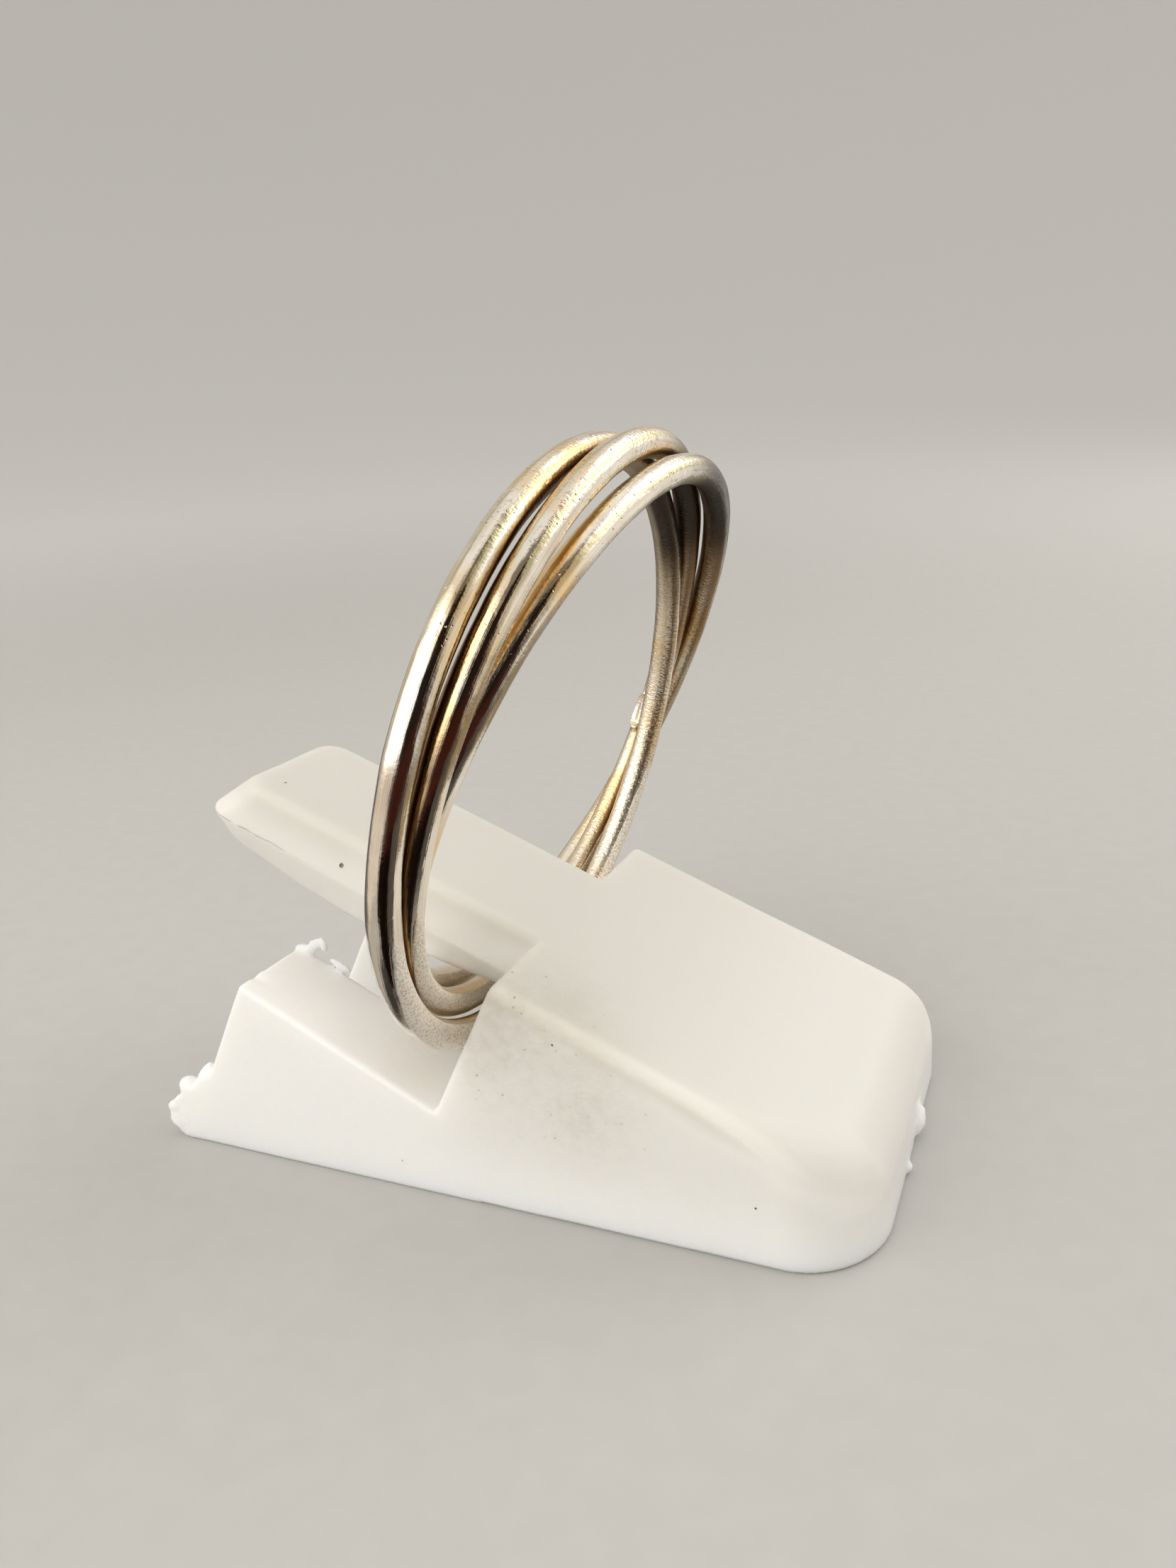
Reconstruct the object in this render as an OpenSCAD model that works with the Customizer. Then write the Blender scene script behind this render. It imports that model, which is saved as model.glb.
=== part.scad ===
// Three interlocking round-wire finger rings, resting on a small moulded wedge stand.
// The bands are linked through one another and loop over the stand's tongue.
// Sizes are millimetres. The origin is on the stand's underside, midway along its length.
// +X points to the stand's low end, +Z is up, and the front faces -Y.

/* [Bands] */
// Mean diameter of each band, measured to the middle of its wire
band_d = 20; // [19.9:0.05:20.1]
// Diameter of the round wire
wire_d = 1; // [0.8:0.05:1.05]

/* [Stand block] */
// Length of the underside
stand_l = 25.1; // [24.8:0.1:25.5]
// Width across the two legs
stand_w = 12.6; // [12:0.1:13]
// Height of the sloping top where it meets the step
step_h = 8.05; // [7.6:0.05:8.05]
// Distance from the thick end to the top edge of the step
step_x = 13.5; // [13.45:0.05:13.65]
// Height of the two legs at the thick end
leg_h = 6.5; // [5.8:0.1:6.5]
// Slope of the block's top, in degrees below level
top_slope = 23.3; // [22:0.1:24]
// Slope of the legs' tops, in degrees below level
leg_slope = 26; // [25.8:0.1:27]
// Lean of the step's face from upright, in degrees
step_lean = 27.4; // [27:0.1:28]
// Lean of the thick end from upright, in degrees
thick_end_lean = 28.5; // [26:0.5:30]
// Lean of the low end from upright, in degrees
low_end_lean = 0.5; // [0:0.5:6]
// Radius of the low end's upper edge, seen from the side
low_edge_r = 1.5; // [0.5:0.1:2]
// Corner radius of the low end at the front, seen from above
low_front_r = 2.9; // [1:0.1:4]
// Corner radius of the low end at the back, seen from above
low_back_r = 0.9; // [0.3:0.1:1]
// Corner radius of the legs' ends, seen from above
leg_corner_r = 0.4; // [0.2:0.1:1]

/* [Tongue] */
// Width of the flat top of the tongue
tongue_w = 5.5; // [5:0.1:5.8]
// Length of the tongue's top, from the step to the tip
tongue_l = 12.35; // [11:0.05:12.6]
// Greatest thickness of the tongue, at right angles to its top
tongue_t = 3.25; // [2.8:0.05:3.3]
// Depth of the mould seam below the tongue's top
seam_depth = 1.5; // [1:0.1:1.8]
// How far the seam stands out beyond the top on each side
seam_out = 0.5; // [0:0.1:0.6]
// How far the seam stands out beyond the top at the tip
tip_out = 1.05; // [0.2:0.05:1.2]
// Corner radius of the tip, seen square to the top
tip_corner_r = 1.5; // [0.4:0.1:2]
// Radius of the bowed underside, seen from the side
belly_r = 28; // [24:1:36]
// Width of the slot that is cut under the tongue, between the legs
slot_w = 5.3; // [5:0.1:5.6]

/* [Moulding marks] */
// Diameter of the round nub left on the front leg's end
leg_nub_d = 0.9; // [0.5:0.1:1.2]
// Diameter of the nub left on the low end
low_nub_d = 1.2; // [0.8:0.1:1.4]
// Width of the torn gate on the front leg's end
gate_w = 1.6; // [1:0.1:2]

/* [Hidden] */
$fn = 128;

silver = [0.72, 0.70, 0.66];
white_plastic = [0.93, 0.92, 0.89];

// Each band's pose: centre of the loop, turn about Z, and lean of its top towards +X.
front_pose = [[0.65, 0.05, 13.7], -1, 14];
middle_pose = [[0.75, 1.1, 14.05], 1, 20];
back_pose = [[0.5, 2.3, 13.6], -1, 26.5];

// Named columns of a pose.
CENTRE = 0;
TURN = 1;
LEAN = 2;

// The side view is drawn with x from the thick end and z up from the underside.
end_x = -stand_l / 2;
beyond = 40;

function run(lean, height) = height * tan(lean);
function top_z(x) = step_h - (x - step_x) * tan(top_slope);
function step_face_x(z) = step_x - (step_h - z) * tan(step_lean);

leg_x = run(thick_end_lean, leg_h);
// Bottom of the notch, where the legs' tops meet the step's face.
notch_z = (leg_h - (step_face_x(0) - leg_x) * tan(leg_slope)) / (1 + tan(leg_slope) * tan(step_lean));
notch_x = step_face_x(notch_z);
// Top edge of the low end before it is rounded, where the sloping top meets the end face.
low_z = (step_h - (stand_l - step_x) * tan(top_slope)) / (1 - tan(top_slope) * tan(low_end_lean));
low_x = stand_l - run(low_end_lean, low_z);
// The rounding turns about one centre, from the top's direction to the end face's.
low_turn = 90 - top_slope - low_end_lean;
low_middle = low_end_lean + low_turn / 2;
low_centre_x = low_x - low_edge_r * cos(low_middle) / cos(low_turn / 2);
low_centre_z = low_z - low_edge_r * sin(low_middle) / cos(low_turn / 2);
low_round = [for (i = [0:12]) let (a = 90 - top_slope - i * low_turn / 12)
    [low_centre_x + low_edge_r * cos(a), low_centre_z + low_edge_r * sin(a)]];

// The tongue is drawn along the slope, from the step's top edge at 0 to its tip at -tongue_l.
seam_w = tongue_w + 2 * seam_out;
tip_end = tongue_l + tip_out;
// Where the tongue is thickest, its width there, and how far its root reaches into the block.
belly_at = -6.6;
belly_w = 5.4;
root = 1.2;

// Torn gate on the front leg, as points of the side view.
gate_reach = 0.85;
gate_top = [1.75, 3.3];
gate_shoulder = [-0.65, 1.6];
gate_low = [-0.6, 0.5];
gate_heel = [0.1, 0.06];

// Turns a side view, drawn in x and z, into a slab of the given width about the XZ plane.
module across(width) {
    translate([end_x, 0, 0]) rotate([90, 0, 0]) linear_extrude(width, center = true) children();
}

// A straight prism of a plan outline, drawn from the thick end and leaning back by an angle.
module leaning_prism(lean) {
    translate([end_x, 0, 0]) rotate([0, lean, 0])
        translate([0, 0, -beyond / 2]) linear_extrude(beyond) children();
}

// A rectangle from x0 to x1, with rounded corners at x1 only. back_r is at most front_r.
module plan_rounded_right(x0, x1, width, front_r, back_r) {
    translate([x0, -width / 2]) square([x1 - front_r - x0, width]);
    translate([x1 - front_r - 0.01, front_r - width / 2]) square([front_r + 0.01, width - front_r - back_r]);
    translate([x1 - front_r - 0.01, width / 2 - 2 * back_r]) square([front_r - back_r + 0.01, 2 * back_r]);
    translate([x1 - front_r, front_r - width / 2]) circle(front_r);
    translate([x1 - back_r, width / 2 - back_r]) circle(back_r);
}

module block_side() {
    polygon([[0, 0], [leg_x, leg_h], [notch_x, notch_z], [step_x, step_h], each low_round, [stand_l, 0]]);
}

module block() {
    intersection() {
        across(stand_w) block_side();
        leaning_prism(-low_end_lean)
            plan_rounded_right(-beyond, stand_l * cos(low_end_lean), stand_w, low_front_r, low_back_r);
        leaning_prism(thick_end_lean) mirror([1, 0])
            plan_rounded_right(-beyond, 0, stand_w, leg_corner_r, leg_corner_r);
    }
}

// The slot runs right through below the tongue, between the legs, and ends at the step's face.
module slot() {
    across(slot_w) polygon([[-beyond, -1], [step_face_x(-1), -1],
        [step_face_x(step_h + 5), step_h + 5], [-beyond, step_h + 5]]);
}

// Side view: flat on top, cut out to the seam at the tip, then back in, and bowed below.
module tongue_side() {
    intersection() {
        polygon([[-tongue_l, 0], [root, 0], [root, -tongue_t], [-tongue_l, -tongue_t],
            [-tip_end, -seam_depth]]);
        translate([belly_at, belly_r - tongue_t]) circle(belly_r, $fn = 720);
    }
}

// Section across the tongue: widest at the seam.
module tongue_section() {
    polygon([[-tongue_w / 2, 0], [-seam_w / 2, -seam_depth], [-belly_w / 2, -tongue_t],
        [belly_w / 2, -tongue_t], [seam_w / 2, -seam_depth], [tongue_w / 2, 0]]);
}

module tongue() {
    translate([end_x + step_x, 0, step_h]) rotate([0, top_slope, 0]) intersection() {
        rotate([90, 0, 0]) linear_extrude(seam_w, center = true) tongue_side();
        translate([-beyond / 2, 0, 0]) rotate([90, 0, 90]) linear_extrude(beyond) tongue_section();
        translate([-tip_end, 0, -beyond / 2]) linear_extrude(beyond) mirror([1, 0])
            plan_rounded_right(-beyond, 0, seam_w, tip_corner_r, tip_corner_r);
    }
}

// What the mould left: a torn gate and a nub on the front leg, and a nub on the low end.
module moulding_marks() {
    translate([0, -stand_w / 2 + gate_w / 2 + 0.05, 0]) across(gate_w)
        polygon([gate_top, gate_shoulder, [-gate_reach, 1.1], gate_low, gate_heel, [1.2, 0.06], [2, 3]]);
    translate([end_x + 0.55, -stand_w / 2 + 0.4, 2.25]) sphere(d = leg_nub_d);
    translate([end_x + stand_l - 0.25, 2, 0.7]) sphere(d = low_nub_d);
}

module display_stand() {
    color(white_plastic) union() {
        difference() {
            block();
            slot();
        }
        tongue();
        moulding_marks();
    }
}

module band(pose) {
    color(silver) translate(pose[CENTRE]) rotate([0, 90 + pose[LEAN], pose[TURN]])
        rotate_extrude() translate([band_d / 2, 0]) circle(d = wire_d, $fn = 48);
}

module band_front() { band(front_pose); }
module band_middle() { band(middle_pose); }
module band_back() { band(back_pose); }

band_front();
band_middle();
band_back();
display_stand();
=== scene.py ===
# %% [markdown]
# The subject is a finger ring of three silver bands that pass through one another. It hangs over the
# tongue of a small white moulded stand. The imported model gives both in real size, so the script
# starts by loading it. Everything that follows is fitted to that frame.

# %% Load the frame
import math

import bmesh
import bpy
import numpy as np
from mathutils import Matrix, Vector


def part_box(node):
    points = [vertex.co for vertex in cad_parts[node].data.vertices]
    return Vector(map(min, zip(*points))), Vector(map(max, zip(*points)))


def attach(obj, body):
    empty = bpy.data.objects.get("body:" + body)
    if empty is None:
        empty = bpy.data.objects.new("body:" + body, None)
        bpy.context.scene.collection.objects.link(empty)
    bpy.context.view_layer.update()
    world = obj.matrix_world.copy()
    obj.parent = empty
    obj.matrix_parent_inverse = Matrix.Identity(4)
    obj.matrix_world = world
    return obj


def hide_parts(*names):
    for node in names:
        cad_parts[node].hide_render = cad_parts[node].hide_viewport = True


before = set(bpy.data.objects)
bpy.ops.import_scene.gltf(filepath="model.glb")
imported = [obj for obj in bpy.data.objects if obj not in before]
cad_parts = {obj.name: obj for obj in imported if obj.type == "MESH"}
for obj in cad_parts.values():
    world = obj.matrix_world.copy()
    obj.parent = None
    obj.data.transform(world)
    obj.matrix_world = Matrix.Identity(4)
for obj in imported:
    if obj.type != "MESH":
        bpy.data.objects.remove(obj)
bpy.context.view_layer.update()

print("CAD nodes:", sorted(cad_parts))

# %% [markdown]
# A finger ring is tiny, and some of Blender's tools, such as the voxel remesher, have a smallest
# step that is too coarse for it. The pieces could be modelled in metres all the same, with larger
# voxels and soft corners. Here each piece is modelled in millimetres, a thousand times too large,
# and shrunk into the frame at the end, so that small radii keep their shape.

# %% Working scale, and helpers for whole objects
MM = 0.001


def only(obj):
    """Deselects everything, then selects obj and makes it active."""
    bpy.ops.object.select_all(action="DESELECT")
    obj.select_set(True)
    bpy.context.view_layer.objects.active = obj


def name_new(name):
    """Names the primitive that was just added."""
    obj = bpy.context.object
    obj.name = name
    obj.data.name = name
    return obj


def apply_place(obj):
    """Moves an object's place, turn and size into its mesh."""
    only(obj)
    bpy.ops.object.transform_apply(location=True, rotation=True, scale=True)


def apply_modifiers(obj):
    """Applies every modifier, from the first to the last."""
    only(obj)
    for modifier in list(obj.modifiers):
        bpy.ops.object.modifier_apply(modifier=modifier.name)


def to_real_size(obj):
    """Shrinks a piece from millimetres to metres about the frame's origin."""
    obj.scale = (MM, MM, MM)
    apply_place(obj)


# %% Helpers for edit mode
def edit(obj, mode="VERT"):
    """Opens obj in edit mode with nothing selected."""
    only(obj)
    bpy.ops.object.mode_set(mode="EDIT")
    bpy.ops.mesh.select_mode(type=mode)
    bpy.ops.mesh.select_all(action="DESELECT")


def close_edit():
    """Ends edit mode, which writes the changes into the mesh."""
    bpy.ops.object.mode_set(mode="OBJECT")


def pick(obj, test, kind="verts"):
    """Selects the vertices, edges or faces of the open mesh whose middle passes the test."""
    mesh = bmesh.from_edit_mesh(obj.data)
    found = 0
    for item in getattr(mesh, kind):
        if kind == "verts":
            middle = item.co
        else:
            middle = sum((v.co for v in item.verts), Vector()) / len(item.verts)
        chosen = bool(test(middle, item))
        item.select_set(chosen)
        found += chosen
    mesh.select_flush_mode()
    bmesh.update_edit_mesh(obj.data)
    return found


def carve(obj, point, normal):
    """Cuts away what lies beyond a plane, and closes the cut."""
    edit(obj)
    bpy.ops.mesh.select_all(action="SELECT")
    bpy.ops.mesh.bisect(plane_co=point, plane_no=normal, use_fill=True, clear_outer=True)
    close_edit()


# %% [markdown]
# The stand is one small injection moulding. Its block has a flat top that slopes to a low rounded
# end, with a step at its high end. It could be cut from one solid by booleans, but their edges are
# awkward to round. Instead the block, two legs and the tongue are simple convex solids, each with
# its own rounded edges, and a voxel remesh then melts them into one skin, as the mould did.

# %% Sizes of the stand, in millimetres, as in the frame
STAND_L = 25.1
STAND_W = 12.6
THICK_END = -STAND_L / 2
STEP = Vector((THICK_END + 13.5, 0, 8.05))
LEG_H = 6.5
TOP_SLOPE = math.radians(23.3)
LEG_SLOPE = math.radians(26.0)
STEP_LEAN = math.radians(27.4)
THICK_END_LEAN = math.radians(28.5)
LOW_END_LEAN = math.radians(0.5)
SLOT_W = 5.3
LOW_EDGE_R = 1.5
LOW_FRONT_R = 2.9
LOW_BACK_R = 1.0
LEG_TOP = Vector((THICK_END + LEG_H * math.tan(THICK_END_LEAN), 0, LEG_H))
TOP_NORMAL = Vector((math.sin(TOP_SLOPE), 0, math.cos(TOP_SLOPE)))
LEG_NORMAL = Vector((math.sin(LEG_SLOPE), 0, math.cos(LEG_SLOPE)))
STEP_NORMAL = Vector((-math.cos(STEP_LEAN), 0, math.sin(STEP_LEAN)))
THICK_NORMAL = Vector((-math.cos(THICK_END_LEAN), 0, math.sin(THICK_END_LEAN)))
LOW_NORMAL = Vector((math.cos(LOW_END_LEAN), 0, math.sin(LOW_END_LEAN)))
print("leg top, mm:", [round(v, 2) for v in LEG_TOP])


# %% Helpers that make and round a solid
def box_from(name, low, high):
    """A cube primitive that fills a box."""
    low, high = Vector(low), Vector(high)
    bpy.ops.mesh.primitive_cube_add(size=1, location=(low + high) / 2)
    obj = name_new(name)
    obj.scale = high - low
    apply_place(obj)
    return obj


def round_edges(obj, test, radius, segments=5):
    """Bevels the edges whose middle passes the test."""
    edit(obj, "EDGE")
    found = pick(obj, test, "edges")
    bpy.ops.mesh.bevel(offset=radius, offset_type="OFFSET", segments=segments, profile=0.5,
                       affect="EDGES", clamp_overlap=True)
    close_edit()
    return found


def sharp(edge, degrees=20):
    """True where an edge's two faces turn by more than this angle."""
    return len(edge.link_faces) == 2 and edge.calc_face_angle(0) > math.radians(degrees)


# %% Corners and shoulders
BLOCK_START = THICK_END + 4
RIDGE_R = 0.3
STEP_EDGE_R = 0.15
FOOT_R = 0.22


def round_corner(obj, side, radius, facets):
    """Rounds an upright corner of the low end, as a file would: one flat after another."""
    centre = Vector((STAND_L / 2 - radius, side * (STAND_W / 2 - radius), 0))
    for facet in range(1, facets):
        angle = math.radians(90 * facet / facets)
        normal = Vector((math.cos(angle), side * math.sin(angle), 0))
        carve(obj, centre + normal * radius, normal)


def round_shoulder(obj, wall, wall_point, radius, cuts=5):
    """Rounds the edge between a wall and the sloping top with flats that touch a ball inside both."""
    tilt = wall.dot(TOP_NORMAL)
    to_wall, to_top = wall_point.dot(wall) - radius, STEP.dot(TOP_NORMAL) - radius
    ball = wall * (to_wall - tilt * to_top) + TOP_NORMAL * (to_top - tilt * to_wall)
    ball = ball / (1 - tilt ** 2)
    for cut in range(1, cuts):
        normal = wall.slerp(TOP_NORMAL, cut / cuts)
        carve(obj, ball + normal * radius, normal)


# %% The block
block = box_from("block", (BLOCK_START, -STAND_W / 2, 0), (STAND_L / 2 + 1, STAND_W / 2, 12))
carve(block, STEP, TOP_NORMAL)
carve(block, STEP, STEP_NORMAL)
carve(block, (STAND_L / 2, 0, 0), LOW_NORMAL)
low_edge = round_edges(block, lambda m, e: m.x > STAND_L / 2 - 0.5 and abs(m.y) < 1 and m.z > 1,
                       LOW_EDGE_R, 8)
ridges = round_edges(block, lambda m, e: sharp(e) and m.z > 0.01 and m.x > STEP.x + 0.3
                     and abs(m.y) > 6, RIDGE_R, 4)
steps = round_edges(block, lambda m, e: sharp(e, 40) and m.z > 0.01
                    and abs((m - STEP).dot(STEP_NORMAL)) < 0.01, STEP_EDGE_R, 3)
round_corner(block, -1, LOW_FRONT_R, 15)
round_corner(block, 1, LOW_BACK_R, 4)
print("faces of the block:", len(block.data.polygons))

# %% [markdown]
# The ridge on the front doesn't run round the low corner. It bends down there and fades out, because
# the shoulder gets much rounder. A bevel keeps one radius, so these flats give each direction of the
# corner a radius of its own. Directions are in degrees from the front, and radii in millimetres.

# %% The low front shoulder
SHOULDER_R = {"at": (0, 15, 35, 60, 90), "radius": (0.3, 1.3, 2.4, 2.4, 1.7)}
corner = Vector((STAND_L / 2 - LOW_FRONT_R, LOW_FRONT_R - STAND_W / 2, 0))
for degrees in range(6, 90, 6):
    wall = Vector((math.sin(math.radians(degrees)), -math.cos(math.radians(degrees)), 0))
    radius = float(np.interp(degrees, SHOULDER_R["at"], SHOULDER_R["radius"]))
    round_shoulder(block, wall, corner + wall * LOW_FRONT_R, radius, 7)
feet = round_edges(block, lambda m, e: sharp(e, 30) and m.z < 0.01 and m.x > BLOCK_START + 0.1,
                   FOOT_R, 3)
print("block edges rounded:", low_edge, ridges, steps, feet, "faces:", len(block.data.polygons))

# %% [markdown]
# The two legs are mirror images, with a slot between them that runs right through below the tongue.
# One leg is cut and rounded, then copied across. Their inner ends lie inside the block, where the
# remesh swallows them. Their tops are a little warped: the outer edge is higher than the inner.

# %% The legs
LEG_RIDGE_R = 0.2
OUTWARD_RISE = 0.07
LEG_WARP = Vector((math.tan(LEG_SLOPE), OUTWARD_RISE, 1)).normalized()
INNER_EDGE = LEG_TOP + Vector((0, -SLOT_W / 2, 0.08))
OUTER_CORNER = LEG_TOP + Vector((0.12, -STAND_W / 2 + 0.1, 0.2))
LEG_ROOT = STEP.x - 1.2
leg = box_from("leg", (THICK_END - 1, -STAND_W / 2, 0), (LEG_ROOT, -SLOT_W / 2, 9))
carve(leg, INNER_EDGE, LEG_WARP)
carve(leg, (THICK_END, 0, 0), THICK_NORMAL)
carve(leg, OUTER_CORNER, Vector((-0.66, -0.55, 0.51)))
leg_edges = round_edges(leg, lambda m, e: sharp(e) and m.z > 0.01 and m.x < LEG_ROOT - 0.01,
                        LEG_RIDGE_R, 3)
leg_feet = round_edges(leg, lambda m, e: sharp(e, 30) and m.z < 0.01 and m.x < LEG_ROOT - 0.01,
                       FOOT_R, 4)
only(leg)
bpy.ops.object.duplicate()
back_leg = name_new("back_leg")
back_leg.scale = (1, -1, 1)
apply_place(back_leg)
edit(back_leg, "FACE")
bpy.ops.mesh.select_all(action="SELECT")
bpy.ops.mesh.normals_make_consistent(inside=False)
close_edit()
print("leg edges rounded:", leg_edges, leg_feet)

# %% [markdown]
# The tongue is level with the block's top. The mould's two halves meet on its sides, so it is widest
# at that seam and leans in above and below it, and its underside bows. It could be lofted from
# sections. It is quicker to cut a bar across at a few stations, then move rows of its corners.

# %% The tongue
TONGUE_W = 5.5
TONGUE_L = 12.35
TONGUE_T = 3.25
SEAM_DEPTH = 1.5
SEAM_OUT = 0.5
TIP_OUT = 1.05
TIP_IN = 0.75
TIP_R = 1.5
RIM_R = 0.35
BELLY_EDGE_R = 0.6
BELLY_R = 28.0
BELLY_AT = -6.6
BELLY_W = 5.4
ROOT = 1.2
STATIONS = 7
SEAM_HALF = TONGUE_W / 2 + SEAM_OUT
TIP_END = -(TONGUE_L + TIP_OUT)


def station_at(station):
    """Place of a cut along the tongue, from the tip's end to the root."""
    return TIP_END + (ROOT - TIP_END) * station / STATIONS


def belly(x):
    """Height of the bowed underside, measured from the tongue's top."""
    return -TONGUE_T + (x - BELLY_AT) ** 2 / (2 * BELLY_R)


tongue = box_from("tongue", (TIP_END, -SEAM_HALF, -TONGUE_T), (ROOT, SEAM_HALF, 0))
edit(tongue)
bpy.ops.mesh.select_all(action="SELECT")
bpy.ops.mesh.bisect(plane_co=(0, 0, -SEAM_DEPTH), plane_no=(0, 0, 1))
for station in range(1, STATIONS):
    bpy.ops.mesh.select_all(action="SELECT")
    bpy.ops.mesh.bisect(plane_co=(station_at(station), 0, 0), plane_no=(1, 0, 0))
close_edit()
print("corners of the tongue:", len(tongue.data.vertices))

# %% Shape the tongue, and round its edges
edit(tongue)
pick(tongue, lambda m, v: m.z > -0.01)
bpy.ops.transform.resize(value=(1, TONGUE_W / 2 / SEAM_HALF, 1), center_override=(0, 0, 0))
pick(tongue, lambda m, v: m.z > -0.01 and m.x < TIP_END + 0.01)
bpy.ops.transform.translate(value=(TIP_OUT, 0, 0))
pick(tongue, lambda m, v: m.z < -SEAM_DEPTH - 0.01)
bpy.ops.transform.resize(value=(1, BELLY_W / 2 / SEAM_HALF, 1), center_override=(0, 0, 0))
pick(tongue, lambda m, v: m.z < -SEAM_DEPTH - 0.01 and m.x < TIP_END + 0.01)
bpy.ops.transform.translate(value=(TIP_IN, 0, 0))
for station in range(STATIONS + 1):
    at = station_at(station)
    at += TIP_IN if station == 0 else 0
    pick(tongue, lambda m, v: m.z < -SEAM_DEPTH - 0.01 and abs(m.x - at) < 0.02)
    bpy.ops.transform.translate(value=(0, 0, belly(at) + TONGUE_T))
close_edit()
tip_edges = round_edges(tongue, lambda m, e: m.x < TIP_END + 1.3 and abs(m.y) > 2.5
                        and abs(e.verts[0].co.z - e.verts[1].co.z) > 0.5, TIP_R, 7)
rims = round_edges(tongue, lambda m, e: m.z > -0.01 and m.x < ROOT - 0.01 and sharp(e), RIM_R)
bellies = round_edges(tongue, lambda m, e: m.z < -SEAM_DEPTH - 0.3 and m.x < ROOT - 0.01
                      and sharp(e, 25), BELLY_EDGE_R)
tongue.location = STEP
tongue.rotation_euler = (0, TOP_SLOPE, 0)
apply_place(tongue)
print("tongue edges rounded:", tip_edges, rims, bellies)

# %% [markdown]
# Nobody trimmed this moulding. A torn gate, a round nub and a curl of flash stay on the front leg,
# and another nub and a flake on the low end. They could be painted on, but they stand out in the
# outline, so they are small lumps that the remesh joins to the rest.

# %% The torn gate
FRONT = -STAND_W / 2
GATE_EDGE_R = 0.22
gate = box_from("gate", (THICK_END - 0.78, FRONT + 0.01, 0.0), (THICK_END + 2.4, FRONT + 1.6, 3.6))
carve(gate, (THICK_END - 0.35, 0, 1.55), Vector((-0.60, 0, 0.80)))
carve(gate, (THICK_END - 0.55, 0, 0.42), Vector((-0.72, 0, -0.69)))
carve(gate, (THICK_END - 0.30, FRONT + 1.0, 0), Vector((-0.75, 0.66, 0)))
gate_edges = round_edges(gate, lambda m, e: m.x < THICK_END + 1.5 and sharp(e), GATE_EDGE_R, 3)
print("gate edges rounded:", gate_edges)

# %% Nubs, flakes and a curl of flash
CURL_X = LEG_TOP.x
CURL_Y = -SLOT_W / 2
NUB_Y = 1.75
NUB_Z = 0.66


def lump(name, place, size, turn=(0, 0, 0)):
    """A small rounded lump, given by its middle and its width along each axis."""
    bpy.ops.mesh.primitive_ico_sphere_add(subdivisions=3, radius=0.5, location=place, rotation=turn)
    obj = name_new(name)
    obj.scale = size
    apply_place(obj)
    return obj


marks = [
    gate,
    lump("gate_nub", (THICK_END + 0.22, FRONT + 0.38, 2.05), (0.80, 0.78, 0.74)),
    lump("gate_web", (THICK_END + 1.02, FRONT + 0.42, 2.62), (1.4, 0.6, 0.45), (0, -0.93, 0)),
    lump("gate_lug", (THICK_END - 0.42, FRONT + 0.40, 0.98), (0.80, 0.70, 0.90), (0, 0.4, 0)),
    lump("low_nub", (STAND_L / 2 - 0.22, NUB_Y, NUB_Z), (1.0, 1.45, 1.2)),
    lump("low_flake", (STAND_L / 2 - 0.02, -0.45, 0.22), (0.38, 0.46, 0.4)),
    lump("curl_root", (CURL_X + 0.3, CURL_Y - 0.12, 6.5), (0.95, 0.34, 0.36), (0, 0.1, 0)),
    lump("curl", (CURL_X + 0.72, CURL_Y - 0.07, 6.72), (0.62, 0.32, 0.40), (0, -0.5, 0)),
    lump("curl_tip", (CURL_X + 1.05, CURL_Y - 0.05, 6.84), (0.42, 0.30, 0.38)),
    lump("curl_hook", (CURL_X + 1.12, CURL_Y - 0.05, 6.62), (0.28, 0.26, 0.46), (0, 0.2, 0)),
    lump("curl_tail", (CURL_X + 1.75, CURL_Y - 0.08, 6.02), (1.1, 0.26, 0.30), (0, LEG_SLOPE, 0)),
]
print("marks of the mould:", len(marks))

# %% [markdown]
# The voxel remesh gives one closed skin. A light smoothing rounds every joint as molten plastic
# would, and the displacements that follow make the faces a little uneven, as they are on a cheap
# moulding, and tear the gate. Last, decimation spends the faces where the shape turns.

# %% One skin
VOXEL = 0.09
only(block)
for part in [leg, back_leg, tongue, *marks]:
    part.select_set(True)
bpy.ops.object.join()
stand = name_new("stand_moulding")
melt = stand.modifiers.new("melt", "REMESH")
melt.mode = "VOXEL"
melt.voxel_size = VOXEL
soften = stand.modifiers.new("soften", "SMOOTH")
soften.factor = 0.5
soften.iterations = 4
apply_modifiers(stand)
print("faces of the skin:", len(stand.data.polygons))


# %% Helpers that reach each vertex
def vertex_array(obj):
    """Every vertex's place, one row for each."""
    flat = np.empty(len(obj.data.vertices) * 3)
    obj.data.vertices.foreach_get("co", flat)
    return flat.reshape(-1, 3)


def soft_step(value, start, end):
    """0 at start and 1 at end, smoothly, for numbers and arrays."""
    t = np.clip((value - start) / (end - start), 0, 1)
    return t * t * (3 - 2 * t)


def patch(points, middle, start, end, stretch=(1, 1, 1)):
    """1 close to a point and 0 away from it, fading from the start distance to the end one."""
    return soft_step(np.linalg.norm((points - middle) * stretch, axis=1), start, end)


def group_from(obj, name, weights, steps=20):
    """A vertex group with one weight for each vertex, in a few steps."""
    group = obj.vertex_groups.new(name=name)
    levels = np.round(weights * steps).astype(int)
    for level in range(1, steps + 1):
        chosen = np.flatnonzero(levels == level)
        if len(chosen):
            group.add(chosen.tolist(), level / steps, "REPLACE")


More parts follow.
